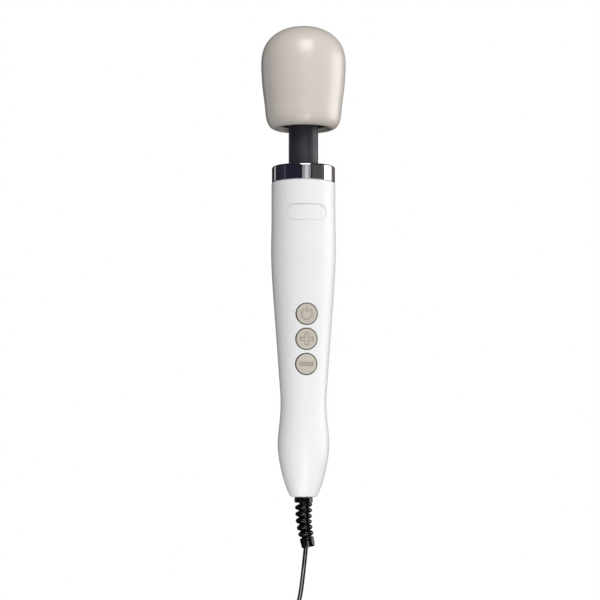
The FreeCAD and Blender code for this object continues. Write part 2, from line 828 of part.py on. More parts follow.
def head_screw_set(head_r, shank_r, extra=0.0):
    """Three screws up into the core, or the holes for them."""
    pieces = []
    for angle in (90, 210, 330):
        head = rod(HEAD_RING_Y + 0.2 - extra * 2, 271.4, head_r, x=16.6)
        shank = rod(271.4, 282.0 + extra, shank_r, x=16.6)
        pieces.append(turned(head.fuse(shank).removeSplitter(), angle))
    return pieces


def head_screws():
    return group(head_screw_set(2.2, 1.25))


def core_screw_set(head_r, shank_r, top):
    pieces = []
    for angle in (30, 150, 270):
        head = rod(310.0, top, head_r, x=21.6)
        shank = rod(289.0, 310.0, shank_r, x=21.6)
        pieces.append(turned(head.fuse(shank).removeSplitter(), angle))
    return pieces


def core_screws():
    return group(core_screw_set(2.2, 1.25, 312.0))


def core_form():
    return head_solid(HEAD_WALL + CORE_GAP, CORE_BOTTOM)


def head_core_lower():
    lower = core_form().common(block((-40, 40), (CORE_BOTTOM, CORE_SPLIT), (-40, 40)))
    cuts = [
        rod(CORE_BOTTOM - 1, 276, 6.4),
        rod(275.0, 284, BEARING_OUT),
        rod(283.0, CORE_SPLIT + 1, CORE_CAVITY_R),
    ]
    return lower.cut(cuts + head_screw_set(2.2, 1.25) + core_screw_set(2.4, 1.25, 340))


def head_core_upper():
    upper = core_form().common(block((-40, 40), (CORE_SPLIT, 345), (-40, 40)))
    cuts = [
        rod(CORE_SPLIT - 1, 309.5, CORE_CAVITY_R),
        rod(309.0, 317.0, BEARING_OUT),
        rod(316.0, 321.5, 6.4),
    ]
    return upper.cut(cuts + core_screw_set(2.4, 1.25, 340))


def eccentric_shaft():
    axle = rod(259.5, 274, STUB_R).fuse(rod(274, 320, AXLE_R)).removeSplitter()
    return axle.cut(ring(317.1, 318.1, 5, 2.5))


def eccentric_coupling():
    hub = ring(259.0, 267.5, 3.4, STUB_R).fuse(ring(267, 273, 5.6, STUB_R))
    return hub.removeSplitter().cut(grub_hole(270))


def eccentric_weight():
    """A half disc on a hub, which shakes the head as it spins."""
    half = rod(287, 306, WEIGHT_R).common(block((-20, 20), (286, 307), (-20, 1.5)))
    hub = rod(287, 306, 6.5)
    bore = rod(286, 307, AXLE_R)
    return united([half, hub]).cut([bore, grub_hole(296.5)])


def eccentric_screws():
    """The grub screws of the coupling and of the weight."""
    return group([grub_screw(270, STUB_R), grub_screw(296.5, AXLE_R)])


def shaft_clip():
    clip = ring(317.15, 318.05, 4.6, 2.5)
    return clip.cut(block((-1.2, 1.2), (316, 319), (0, 6)))


def bearing_outer_rings():
    return group([ring(a, b, BEARING_OUT, 7.6) for a, b in BEARING_STATIONS])


def bearing_inner_rings():
    return group([ring(a, b, 4.9, AXLE_R) for a, b in BEARING_STATIONS])


def ball_spots(middle):
    spots = []
    for k in range(BALL_COUNT):
        angle = 2 * math.pi * k / BALL_COUNT
        x = BALL_CIRCLE * math.cos(angle)
        z = BALL_CIRCLE * math.sin(angle)
        spots.append(Vector(x, middle, z))
    return spots


def bearing_balls():
    balls = []
    for a, b in BEARING_STATIONS:
        balls += [Part.makeSphere(BALL_R, spot) for spot in ball_spots((a + b) / 2)]
    return group(balls)


def bearing_cages():
    cages = []
    for a, b in BEARING_STATIONS:
        middle = (a + b) / 2
        cage = ring(middle - 1.7, middle + 1.7, 6.85, 5.7)
        hub = Vector(0, middle, 0)
        pockets = []
        for spot in ball_spots(middle):
            pockets.append(Part.makeCylinder(BALL_R + 0.06, 9, hub, spot - hub))
        cages.append(cage.cut(pockets))
    return group(cages)


# ---------------------------------------------------------------- cord and plug
def coil_solid():
    """The space that the wound cord takes, as a ring with round edges."""
    body = Part.makeCylinder(COIL_OUT, COIL_HEIGHT)
    body = body.cut(Part.makeCylinder(COIL_IN, COIL_HEIGHT))
    body = body.makeFillet(CORD_R, [e for e in body.Edges if e.Closed])
    return body.translated(Vector(COIL_X, COIL_Y, 0))


def coil_tie():
    """A strap round the coil at its +X side."""
    width = COIL_OUT - COIL_IN
    t = TIE_THICK
    low_x = COIL_X + COIL_IN
    outer = Part.makeBox(width + 2 * t, TIE_WIDTH, COIL_HEIGHT + t)
    outer = outer.translated(Vector(low_x - t, COIL_Y - TIE_WIDTH / 2, 0))
    inner = Part.makeBox(width, TIE_WIDTH + 2, COIL_HEIGHT - t)
    inner = inner.translated(Vector(low_x, COIL_Y - TIE_WIDTH / 2 - 1, t))
    outer = outer.makeFillet(2.4, along_y(outer))
    return outer.cut(inner.makeFillet(1.6, along_y(inner)))


def along_y(shape):
    """The edges of a box that run along Y."""
    return [e for e in shape.Edges if abs(e.tangentAt(e.FirstParameter).y) > 0.99]


def plug_rod(start, end, radius):
    """A cylinder of the plug, from its back towards its tip."""
    return Part.makeCylinder(radius, start - end, Vector(PLUG_X, start, PLUG_Z),
                             Vector(0, -1, 0))


def plug_body():
    """Moulded grip with shallow rings and a tapered back."""
    cone = Part.makeCone(2.6, 4.3, PLUG_BACK - PLUG_BODY_BACK,
                         Vector(PLUG_X, PLUG_BACK, PLUG_Z), Vector(0, -1, 0))
    body = plug_rod(PLUG_BODY_BACK, PLUG_BODY_FRONT, PLUG_BODY_R)
    body = body.makeFillet(0.8, [e for e in body.Edges if e.Closed])
    grooves = []
    for k in range(5):
        start = PLUG_BODY_BACK - 4.0 - 2.6 * k
        band = plug_rod(start, start - 1.2, PLUG_BODY_R + 1)
        grooves.append(band.cut(plug_rod(start + 1, start - 2, PLUG_BODY_R - 0.45)))
    body = body.cut(grooves).fuse(cone)
    return body.cut(plug_rod(PLUG_BODY_FRONT + 6, PLUG_TIP, PLUG_ROOT_R))


def plug_sleeve():
    """The metal barrel, which is the outer contact, with a thinner root in the grip."""
    barrel = plug_rod(PLUG_BODY_FRONT, PLUG_TIP, PLUG_SLEEVE_R)
    barrel = barrel.fuse(plug_rod(PLUG_BODY_FRONT + 6, PLUG_TIP + 1, PLUG_ROOT_R))
    return barrel.cut(plug_rod(PLUG_BODY_FRONT + 4, PLUG_TIP - 1, PLUG_SLEEVE_BORE))


def plug_insulator():
    """The liner of the barrel."""
    liner = plug_rod(PLUG_BODY_FRONT + 4, PLUG_TIP + 0.6, PLUG_SLEEVE_BORE)
    return liner.cut(plug_rod(PLUG_BODY_FRONT + 5, PLUG_TIP - 1, PLUG_CONTACT_R))


def plug_contact():
    """The contact in the liner, with a blind hole for the socket's pin."""
    contact = plug_rod(PLUG_BODY_FRONT + 4, PLUG_TIP + 0.6, PLUG_CONTACT_R)
    mouth = PLUG_TIP + 0.6
    return contact.cut(plug_rod(mouth + PLUG_PIN_DEPTH, mouth - 1, PLUG_PIN_BORE))


# ---------------------------------------------------------------- resting place
def lowest(samples, tilt):
    """How far the lowest of some (station, radius) points is below the axis origin."""
    return min(y * math.sin(tilt) - r * math.cos(tilt) for y, r in samples)


def resting_placement():
    """Tilt the wand until its head and the bulge of its handle both touch down."""
    samples = []
    for curve in (handle_curve(), head_curve()):
        points = [curve.value(curve.parameterAtDistance(step * 1.0, curve.FirstParameter))
                  for step in range(int(curve.length()))]
        samples.append([(p.y, p.x) for p in points])
    low, high = 0.0, math.radians(5)
    for _ in range(40):
        tilt = (low + high) / 2
        handle_low, head_low = (lowest(s, tilt) for s in samples)
        if head_low < handle_low:
            low = tilt
        else:
            high = tilt
    height = -lowest(samples[0] + samples[1], tilt)
    print("tilt", round(math.degrees(tilt), 4), "axis height", round(height, 4))
    rotation = Rotation(Vector(1, 0, 0), math.degrees(tilt))
    return Placement(Vector(0, TAIL_Y, height), rotation)


def wand_pieces():
    """Every piece that is placed with the wand."""
    pieces = {
        "front_shell": front_shell(),
        "rear_shell": rear_shell(),
        "case_screws": case_screws(),
        "control_board": control_board(),
        "tactile_switches": tactile_switches(),
        "controller_chip": controller_chip(),
        "power_transistors": power_transistors(),
        "board_capacitors": board_capacitors(),
        "board_connectors": board_connectors(),
        "board_leads": board_leads(),
        "strain_relief": strain_relief(),
        "cord_inner": cord_inner(),
        "cord_clamp": cord_clamp(),
        "small_screws": small_screws(),
        "motor_can": motor_can(),
        "motor_end_cap": motor_end_cap(),
        "motor_terminals": motor_terminals(),
        "motor_bushes": motor_bushes(),
        "field_magnets": field_magnets(),
        "brush_holders": brush_holders(),
        "brushes": brushes(),
        "motor_mounts": motor_mounts(),
        "motor_shaft": motor_shaft(),
        "armature_core": armature_core(),
        "armature_windings": armature_windings(),
        "commutator": commutator(),
        "motor_coupling": motor_coupling(),
        "motor_coupling_screw": motor_coupling_screw(),
        "drive_spring": drive_spring(),
        "collar_ring": collar_ring(),
        "neck_sleeve": neck_sleeve(),
        "head_cap": head_cap(),
        "head_base_ring": head_base_ring(),
        "head_screws": head_screws(),
        "head_core_lower": head_core_lower(),
        "head_core_upper": head_core_upper(),
        "core_screws": core_screws(),
        "eccentric_shaft": eccentric_shaft(),
        "eccentric_coupling": eccentric_coupling(),
        "eccentric_weight": eccentric_weight(),
        "eccentric_screws": eccentric_screws(),
        "shaft_clip": shaft_clip(),
        "bearing_outer_rings": bearing_outer_rings(),
        "bearing_inner_rings": bearing_inner_rings(),
        "bearing_balls": bearing_balls(),
        "bearing_cages": bearing_cages(),
    }
    symbols = {"power": power_symbol(), "plus": plus_symbol(), "minus": minus_symbol()}
    for name, offset in BUTTONS.items():
        pieces[name + "_button"] = button(offset, symbols[name])
        pieces[name + "_plunger"] = plunger(offset)
    return pieces


def surface_pieces():
    """The cord and what is on it, which lie on the surface."""
    return {
        "cord_lead": tube(CORD_ROUTE, CORD_R, "cord_lead"),
        "cord_coil": coil_solid(),
        "cord_end": tube(CORD_END_ROUTE, CORD_R, "cord_end"),
        "coil_tie": coil_tie(),
        "plug_body": plug_body(),
        "plug_sleeve": plug_sleeve(),
        "plug_insulator": plug_insulator(),
        "plug_contact": plug_contact(),
    }


def main():
    os.makedirs("parts", exist_ok=True)
    rest = resting_placement()
    shapes = surface_pieces()
    for name, shape in wand_pieces().items():
        placed = shape.copy()
        placed.Placement = rest.multiply(placed.Placement)
        shapes[name] = placed
    for name, shape in sorted(shapes.items()):
        if not shape.isValid() or not shape.Solids:
            print("check", name, shape.ShapeType, len(shape.Solids))
        shape.exportStep("parts/" + name + ".step")
    print(len(shapes), "nodes")


main()
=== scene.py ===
import json
import math

import bpy
import numpy as np
from mathutils import Matrix, Vector


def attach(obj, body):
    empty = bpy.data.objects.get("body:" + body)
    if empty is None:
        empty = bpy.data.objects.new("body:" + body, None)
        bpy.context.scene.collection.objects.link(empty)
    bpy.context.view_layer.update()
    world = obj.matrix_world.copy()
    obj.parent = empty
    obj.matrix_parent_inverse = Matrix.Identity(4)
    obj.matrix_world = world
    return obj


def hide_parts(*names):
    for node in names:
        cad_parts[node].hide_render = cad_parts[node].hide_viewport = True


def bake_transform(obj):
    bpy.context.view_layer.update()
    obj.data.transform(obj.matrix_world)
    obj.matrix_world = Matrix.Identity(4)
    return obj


# Handheld wand massager. Named sizes and profiles are in millimetres, and MM turns
# them into metres. Lights, camera and floor are placed in metres. Stations
# run up the wand's axis from the cord end of the handle. The frame has the buttons
# up (+Z) and the head towards +Y.
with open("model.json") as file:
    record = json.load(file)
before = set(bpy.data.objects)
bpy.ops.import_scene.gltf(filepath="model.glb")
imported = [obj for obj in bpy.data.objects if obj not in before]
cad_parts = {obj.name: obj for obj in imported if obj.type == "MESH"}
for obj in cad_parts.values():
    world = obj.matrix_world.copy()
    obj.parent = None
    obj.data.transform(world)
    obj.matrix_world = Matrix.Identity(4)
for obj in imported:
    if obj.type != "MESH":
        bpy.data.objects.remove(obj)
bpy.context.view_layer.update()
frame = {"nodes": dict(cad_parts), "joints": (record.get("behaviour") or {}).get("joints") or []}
MM = 0.001


# ---------------------------------------------------------------- wand frame
def joint(name):
    return next(j for j in frame["joints"] if j["name"] == name)


def wand_matrix():
    """Wand coordinates (x, station, height above the axis) to the row frame."""
    spin = joint("rotor_spin")
    along = Vector(spin["axis"]).normalized()
    on_axis = Vector(spin["pos_m"])
    tail_y = -0.1518
    origin = on_axis + along * ((tail_y - on_axis.y) / along.y)
    side = Vector((1, 0, 0))
    up = side.cross(along)
    rotation = Matrix((side, along, up)).transposed().to_4x4()
    return Matrix.Translation(origin) @ rotation


WAND = wand_matrix()


def wand_point(x, station, height):
    return WAND @ Vector((x, station, height))


# ---------------------------------------------------------------- button places, in mm
BUTTON_STATION = 111.4
BUTTON_PITCH = 17.73
BUTTON_SLOPE = math.radians(4.23661)
SHELL_R = 19.347
BUTTON_CAP_R = 7.4
BUTTON_HOLE_R = 7.85


def button_point(x, y, height):
    """A place on or near a button's face: y runs up the shell from the middle button."""
    station = BUTTON_STATION + y * math.cos(BUTTON_SLOPE)
    r = SHELL_R + y * math.sin(BUTTON_SLOPE) + height
    return wand_point(x * MM, station * MM, math.sqrt(r * r - x * x) * MM)


# ---------------------------------------------------------------- mesh helpers
def add_mesh(name, points, faces, finish):
    """A smooth-shaded mesh object in the scene, with one material."""
    mesh = bpy.data.meshes.new(name)
    mesh.from_pydata([tuple(p) for p in points], [], faces)
    mesh.validate()
    mesh.update()
    for polygon in mesh.polygons:
        polygon.use_smooth = True
    thing = bpy.data.objects.new(name, mesh)
    bpy.context.scene.collection.objects.link(thing)
    mesh.materials.append(finish)
    return thing


def grid_faces(rows, columns, closed=False):
    """Quads over rings of points; closed also joins the last ring to the first."""
    faces = []
    last_row = rows if closed else rows - 1
    for i in range(last_row):
        for j in range(columns):
            a = i * columns + j
            b = i * columns + (j + 1) % columns
            c = ((i + 1) % rows) * columns + (j + 1) % columns
            d = ((i + 1) % rows) * columns + j
            faces.append((a, b, c, d))
    return faces


def sharp_by_angle(thing, degrees):
    """Keep smooth shading except over edges sharper than this."""
    thing.data.set_sharp_from_angle(angle=math.radians(degrees))


def ring_points(centre, side, up, radius, count):
    angles = np.linspace(0, 2 * math.pi, count, endpoint=False)
    return [centre + side * (radius * math.cos(a)) + up * (radius * math.sin(a)) for a in angles]


def lathe(name, profile, finish):
    """A turned piece about the wand's axis, from a closed list of (station, radius) in mm."""
    count = 128
    points = []
    for station, radius in profile:
        for a in np.linspace(0, 2 * math.pi, count, endpoint=False):
            x, z = radius * MM * math.cos(a), radius * MM * math.sin(a)
            points.append(wand_point(x, station * MM, z))
    thing = add_mesh(name, points, grid_faces(len(profile), count, closed=True), finish)
    sharp_by_angle(thing, 35)
    return thing


def swept_bar(name, path, radius, finish):
    """A round bar along a list of points, with flat ends."""
    sides = 10
    points = []
    up = Vector((0, 0, 1))
    for i, p in enumerate(path):
        ahead = path[min(i + 1, len(path) - 1)] - path[max(i - 1, 0)]
        ahead.normalize()
        side = ahead.cross(up).normalized()
        if side.length < 0.5:
            side = ahead.cross(Vector((1, 0, 0))).normalized()
        points += ring_points(p, side, side.cross(ahead), radius, sides)
    faces = grid_faces(len(path), sides)
    faces.append(tuple(reversed(range(sides))))
    faces.append(tuple(range(len(points) - sides, len(points))))
    return add_mesh(name, points, faces, finish)


# ---------------------------------------------------------------- materials
# Nearly all of a noise texture's values lie between these.
NOISE_LOW, NOISE_HIGH = 0.3, 0.7


def new_material(name, colour, roughness, metallic=0.0):
    """A Principled material and its tree, ready for detail."""
    m = bpy.data.materials.new(name)
    m.use_nodes = True
    tree = m.node_tree
    shader = tree.nodes["Principled BSDF"]
    shader.inputs["Base Color"].default_value = (*colour, 1)
    shader.inputs["Roughness"].default_value = roughness
    shader.inputs["Metallic"].default_value = metallic
    return m, tree, shader


def node(tree, kind, **values):
    made = tree.nodes.new(kind)
    for name, value in values.items():
        if hasattr(made, name):
            setattr(made, name, value)
        else:
            made.inputs[name.replace("_", " ")].default_value = value
    return made


def noise(tree, scale, detail=3.0, stretch=None):
    """Noise in object coordinates; stretch gives a scale for each axis."""
    place = node(tree, "ShaderNodeTexCoord")
    vector = place.outputs["Object"]
    if stretch:
        mapping = node(tree, "ShaderNodeMapping", Scale=stretch)
        tree.links.new(vector, mapping.inputs["Vector"])
        vector = mapping.outputs["Vector"]
    made = node(tree, "ShaderNodeTexNoise", Scale=scale, Detail=detail)
    tree.links.new(vector, made.inputs["Vector"])
    return made.outputs["Fac"]


def remap(tree, value, low, high):
    """Spread a noise value over the range from low to high."""
    made = node(tree, "ShaderNodeMapRange")
    made.inputs["From Min"].default_value = NOISE_LOW
    made.inputs["From Max"].default_value = NOISE_HIGH
    made.inputs["To Min"].default_value = low
    made.inputs["To Max"].default_value = high
    tree.links.new(value, made.inputs["Value"])
    return made.outputs["Result"]


def vary_roughness(tree, shader, scale, low, high, stretch=None):
    value = remap(tree, noise(tree, scale, stretch=stretch), low, high)
    tree.links.new(value, shader.inputs["Roughness"])


def vary_colour(tree, shader, scale, dark, light, stretch=None):
    ramp = node(tree, "ShaderNodeValToRGB")
    ramp.color_ramp.elements[0].position = NOISE_LOW
    ramp.color_ramp.elements[0].color = (*dark, 1)
    ramp.color_ramp.elements[1].position = NOISE_HIGH
    ramp.color_ramp.elements[1].color = (*light, 1)
    tree.links.new(noise(tree, scale, stretch=stretch), ramp.inputs["Fac"])
    tree.links.new(ramp.outputs["Color"], shader.inputs["Base Color"])


def bump(tree, shader, value, distance, strength=1.0):
    made = node(tree, "ShaderNodeBump", Strength=strength, Distance=distance)
    tree.links.new(value, made.inputs["Height"])
    tree.links.new(made.outputs["Normal"], shader.inputs["Normal"])


def shaded(colour, share):
    return tuple(c * share for c in colour)


def button_distance(tree, offset):
    """Distance in metres from the axis of the button at this offset."""
    centre = button_point(0, offset, 0)
    along = (button_point(0, offset + 1, 0) - centre).normalized()
    axis = Vector((1, 0, 0)).cross(along)
    where = node(tree, "ShaderNodeTexCoord").outputs["Object"]
    arm = node(tree, "ShaderNodeVectorMath", operation="SUBTRACT")
    tree.links.new(where, arm.inputs[0])
    arm.inputs[1].default_value = centre
    turned = node(tree, "ShaderNodeVectorMath", operation="CROSS_PRODUCT")
    tree.links.new(arm.outputs["Vector"], turned.inputs[0])
    turned.inputs[1].default_value = axis
    length = node(tree, "ShaderNodeVectorMath", operation="LENGTH")
    tree.links.new(turned.outputs["Vector"], length.inputs[0])
    return length.outputs["Value"]


def shade_gap(tree, shader, distance, unshaded_r, full_shade_r, dark):
    """Paints shade into the colour from the first radius, unshaded, to the second, fully shaded,
    in mm, as the painted shade of a narrow gap.
    """
    share = node(tree, "ShaderNodeMapRange")
    share.inputs["From Min"].default_value = unshaded_r * MM
    share.inputs["From Max"].default_value = full_shade_r * MM
    tree.links.new(distance, share.inputs["Value"])
    mixed = node(tree, "ShaderNodeMix", data_type="RGBA")
    mixed.inputs["B"].default_value = (*dark, 1)
    tree.links.new(share.outputs["Result"], mixed.inputs["Factor"])
    tree.links.new(shader.inputs["Base Color"].links[0].from_socket, mixed.inputs["A"])
    tree.links.new(mixed.outputs["Result"], shader.inputs["Base Color"])


def shell_white():
    """Smooth white ABS with faint flow marks and a very fine orange peel."""
    m, tree, shader = new_material("shell_white", (0.9, 0.9, 0.9), 0.32)
    shader.inputs["Specular IOR Level"].default_value = 0.35
    vary_colour(tree, shader, 30, (0.896, 0.896, 0.895), (0.904, 0.904, 0.903))
    vary_roughness(tree, shader, 60, 0.31, 0.34)
    bump(tree, shader, noise(tree, 1500, 2), 0.0000004, 0.2)
    return m


def greige_cap():
    """Satin greige moulding of the head under a clear coat."""
    m, tree, shader = new_material("greige_cap", (0.704, 0.642, 0.58), 0.36)
    shader.inputs["Coat Weight"].default_value = 0.55
    shader.inputs["Coat Roughness"].default_value = 0.24
    vary_colour(tree, shader, 40, (0.7, 0.638, 0.576), (0.708, 0.646, 0.586))
    vary_roughness(tree, shader, 90, 0.34, 0.37)
    bump(tree, shader, noise(tree, 2200, 2), 0.0000004, 0.2)
    return m


def front_shell_white():
    """The shell's white, with painted shade on the walls of the three button holes."""
    m = shell_white().copy()
    m.name = "front_shell_white"
    tree = m.node_tree
    nearest = button_distance(tree, 0)
    for offset in (-BUTTON_PITCH, BUTTON_PITCH):
        smaller = node(tree, "ShaderNodeMath", operation="MINIMUM")
        tree.links.new(nearest, smaller.inputs[0])
        tree.links.new(button_distance(tree, offset), smaller.inputs[1])
        nearest = smaller.outputs["Value"]
    # Painted shade: the hole walls go near black, as shade in the gap round each cap.
    shade_gap(tree, tree.nodes["Principled BSDF"], nearest, BUTTON_HOLE_R + 0.12, BUTTON_HOLE_R,
              (0.03, 0.028, 0.025))
    return m


def button_cap(name, offset):
    """A cap's satin taupe, with painted shade at its rim and down its side."""
    m = button_plastic(name, 1.0)
    tree = m.node_tree
    # Painted shade: the cap's rim and side go dark, as shade in the gap round it.
    shade_gap(tree, tree.nodes["Principled BSDF"], button_distance(tree, offset),
              BUTTON_CAP_R - 0.35, BUTTON_CAP_R - 0.1, (0.05, 0.046, 0.04))
    return m


def button_plastic(name, share):
    """Satin taupe of the button caps and, darker, of their symbols, whose darker copies are
    painted shade in the symbol recesses.
    """
    colour = shaded((0.6, 0.55, 0.47), share)
    m, tree, shader = new_material(name, colour, 0.38)
    vary_colour(tree, shader, 260, shaded(colour, 0.96), shaded(colour, 1.04))
    vary_roughness(tree, shader, 500, 0.34, 0.44)
    bump(tree, shader, noise(tree, 5200, 2), 0.000006, 0.6)
    return m


def dark_chrome():
    """Polished dark chrome with faint haze and hairlines round the ring."""
    m, tree, shader = new_material("dark_chrome", (0.5, 0.5, 0.53), 0.08, 1.0)
    vary_colour(tree, shader, 60, (0.47, 0.47, 0.5), (0.53, 0.53, 0.56))
    vary_roughness(tree, shader, 300, 0.04, 0.13, stretch=(1, 14, 1))
    bump(tree, shader, noise(tree, 260, 3, stretch=(1, 0.5, 1)), 0.000004, 0.5)
    return m


def rubber(name, colour, low, high, grain, depth):
    """Moulded rubber with a fine grain."""
    m, tree, shader = new_material(name, colour, (low + high) / 2)
    shader.inputs["Specular IOR Level"].default_value = 0.5
    vary_colour(tree, shader, 80, shaded(colour, 0.85), shaded(colour, 1.15))
    vary_roughness(tree, shader, 200, low, high)
    bump(tree, shader, noise(tree, grain, 3), depth, 0.7)
    return m


def plastic(name, colour, roughness):
    """Moulded engineering plastic with a light texture."""
    m, tree, shader = new_material(name, colour, roughness)
    vary_colour(tree, shader, 150, shaded(colour, 0.92), shaded(colour, 1.08))
    vary_roughness(tree, shader, 400, roughness * 0.85, roughness * 1.15)
    bump(tree, shader, noise(tree, 2500, 2), 0.000008, 0.6)
    return m


def metal(name, colour, roughness, stretch=(1, 1, 1)):
    """Metal with tool marks that run across the stretched axis."""
    m, tree, shader = new_material(name, colour, roughness, 1.0)
    vary_colour(tree, shader, 200, shaded(colour, 0.9), shaded(colour, 1.06))
    vary_roughness(tree, shader, 900, roughness * 0.75, roughness * 1.3, stretch)
    bump(tree, shader, noise(tree, 1500, 3, stretch), 0.000004, 0.5)
    return m


def cable_jacket():
    """Gloss black PVC with slight waviness."""
    m, tree, shader = new_material("cable_jacket", (0.004, 0.004, 0.005), 0.2)
    shader.inputs["Coat Weight"].default_value = 1.0
    shader.inputs["Coat IOR"].default_value = 1.7
    shader.inputs["Coat Roughness"].default_value = 0.14
    vary_colour(tree, shader, 120, (0.003, 0.003, 0.004), (0.005, 0.005, 0.006))
    vary_roughness(tree, shader, 200, 0.2, 0.26)
    bump(tree, shader, noise(tree, 300, 2), 0.000002, 0.2)
    return m


def woven_strap():
    """Hook-and-loop tape: a crossed weave with fuzz."""
    m, tree, shader = new_material("woven_strap", (0.018, 0.018, 0.02), 0.85)
    shader.inputs["Sheen Weight"].default_value = 0.35
    shader.inputs["Sheen Roughness"].default_value = 0.5
    place = node(tree, "ShaderNodeTexCoord")
    waves = []
    for direction in ("Y", "DIAGONAL"):
        wave = node(tree, "ShaderNodeTexWave", Scale=420.0, Distortion=0.6)
        wave.bands_direction = direction
        tree.links.new(place.outputs["Object"], wave.inputs["Vector"])
        waves.append(wave)
    weave = node(tree, "ShaderNodeMath", operation="MULTIPLY")
    tree.links.new(waves[0].outputs["Fac"], weave.inputs[0])
    tree.links.new(waves[1].outputs["Fac"], weave.inputs[1])
    bump(tree, shader, weave.outputs["Value"], 0.00018)
    vary_colour(tree, shader, 1600, (0.01, 0.01, 0.011), (0.035, 0.035, 0.038))
    return m


def board_laminate():
    """Green solder mask with traces under it."""
    m, tree, shader = new_material("board_laminate", (0.02, 0.16, 0.08), 0.35)
    vary_colour(tree, shader, 700, (0.012, 0.11, 0.055), (0.03, 0.2, 0.1), stretch=(1, 0.2, 1))
    vary_roughness(tree, shader, 500, 0.28, 0.42)
    bump(tree, shader, noise(tree, 700, 1, stretch=(1, 0.2, 1)), 0.00003, 0.6)
    return m


GREIGE = greige_cap()
WHITE = shell_white()
FRONT_WHITE = front_shell_white()
BUTTONS = {name: button_cap(name + "_cap", offset) for name, offset in
           (("power", BUTTON_PITCH), ("plus", 0.0), ("minus", -BUTTON_PITCH))}
# Painted shade: the symbols' outline plate, at half the cap's colour, stands for the shade on the
# recess walls.
SYMBOL_WALL_SHADE = button_plastic("symbol_wall_shade", 0.5)
# Recess floors: the plus and power fill is slightly darker as painted shade; the minus fill is
# darker both as painted shade and as a darker moulding.
SYMBOL_FILL = button_plastic("symbol_fill", 0.93)
SYMBOL_TONE_AND_SHADE = button_plastic("symbol_tone_and_shade", 0.76)
CHROME = dark_chrome()
NECK = rubber("neck_rubber", (0.034, 0.029, 0.043), 0.46, 0.54, 2600, 0.00001)
RELIEF = rubber("relief_rubber", (0.003, 0.003, 0.004), 0.1, 0.16, 900, 0.000002)
MOUNT = rubber("mount_rubber", (0.02, 0.02, 0.02), 0.6, 0.75, 1800, 0.00002)
BLACK = plastic("black_plastic", (0.008, 0.008, 0.009), 0.55)
COMPONENT = plastic("component_black", (0.03, 0.03, 0.033), 0.55)
CREAM = plastic("natural_nylon", (0.72, 0.68, 0.58), 0.5)
CORE = plastic("core_plastic", (0.05, 0.05, 0.055), 0.55)
CABLE = cable_jacket()
STRAP = woven_strap()
STEEL = metal("bright_steel", (0.6, 0.6, 0.62), 0.25)
ZINC = metal("zinc_plate", (0.5, 0.52, 0.55), 0.38, (1, 6, 1))
BRASS = metal("turned_brass", (0.75, 0.56, 0.26), 0.28, (1, 8, 1))
COPPER = metal("enamelled_copper", (0.7, 0.31, 0.13), 0.3, (1, 10, 1))
NICKEL = metal("nickel_plate", (0.66, 0.63, 0.58), 0.26, (1, 6, 1))
FERRITE = metal("ferrite", (0.09, 0.09, 0.1), 0.6)
LAMINATE = board_laminate()

CAD_FINISHES = [
    (WHITE, ["rear_shell"]),
    (FRONT_WHITE, ["front_shell"]),
    (GREIGE, ["head_cap"]),
    (BUTTONS["power"], ["power_button"]),
    (BUTTONS["plus"], ["plus_button"]),
    (BUTTONS["minus"], ["minus_button"]),
    (CHROME, ["collar_ring"]),
    (BLACK, ["head_base_ring", "cord_clamp", "motor_end_cap"]),
    (CORE, ["head_core_lower", "head_core_upper"]),
    (RELIEF, ["plug_body"]),
    (MOUNT, ["motor_mounts"]),
    (COMPONENT, ["controller_chip", "power_transistors", "board_capacitors", "brushes",
                 "power_plunger", "plus_plunger", "minus_plunger", "plug_insulator"]),
    (CREAM, ["board_connectors", "bearing_cages"]),
    (CABLE, ["cord_inner", "board_leads"]),
    (LAMINATE, ["control_board"]),
    (STEEL, ["case_screws", "small_screws", "head_screws", "core_screws", "eccentric_screws",
             "motor_coupling_screw", "motor_shaft", "eccentric_shaft", "shaft_clip",
             "motor_coupling", "eccentric_coupling",
             "bearing_balls", "bearing_inner_rings", "bearing_outer_rings"]),
    (ZINC, ["motor_can", "armature_core", "eccentric_weight"]),
    (BRASS, ["motor_bushes", "motor_terminals", "brush_holders"]),
    (COPPER, ["armature_windings", "commutator"]),
    (NICKEL, ["plug_sleeve", "plug_contact", "tactile_switches"]),
    (FERRITE, ["field_magnets"]),
]


def dress_cad_nodes():
    for finish, names in CAD_FINISHES:
        for name in names:
            mesh = frame["nodes"][name].data
            mesh.materials.clear()
            mesh.materials.append(finish)


# ---------------------------------------------------------------- neck and drive spring
NECK_R = 10.65
NECK_BORE = 7.2
NECK_START, NECK_SPLIT, NECK_END = 233.1, 252.0, 273.45
COLLAR_MOUTH = 239.4
SPRING_R, SPRING_WIRE_R = 4.35, 0.9
SPRING_START, SPRING_END = 222.6, 266.0
SPRING_TURNS = 15


def neck_outline(start, end):
    """Outer stations and radii of the rubber, eased in where it enters the collar."""
    stations = np.linspace(start, end, int((end - start) / 0.7) + 1)
    shrink, ease = 0.75, 1.6
    return [(s, NECK_R - shrink * max(0.0, min(1.0, (COLLAR_MOUTH - s) / ease)) ** 1.5)
            for s in stations]


def neck_halves():
    """The rubber neck in two closed halves, split at NECK_SPLIT."""
    bore_low = [(s, NECK_BORE) for s in np.linspace(NECK_SPLIT, NECK_START, 27)]
    flange = [(NECK_START, 16.6), (NECK_START + 0.4, 17.0), (234.2, 17.0), (234.5, 16.7),
              (234.5, 10.4)]
    lower = lathe("neck_lower", flange + neck_outline(234.9, NECK_SPLIT) + bore_low, NECK)
    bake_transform(lower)
    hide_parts("neck_sleeve")
    bore_high = [(s, NECK_BORE) for s in np.linspace(NECK_END, NECK_SPLIT, 31)]
    top = [(271.3, NECK_R), (271.3, 13.3), (273.2, 13.3), (NECK_END, 13.0)]
    upper = lathe("neck_upper", neck_outline(NECK_SPLIT, 271.0) + top + bore_high, NECK)
    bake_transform(upper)
    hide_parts("neck_sleeve")


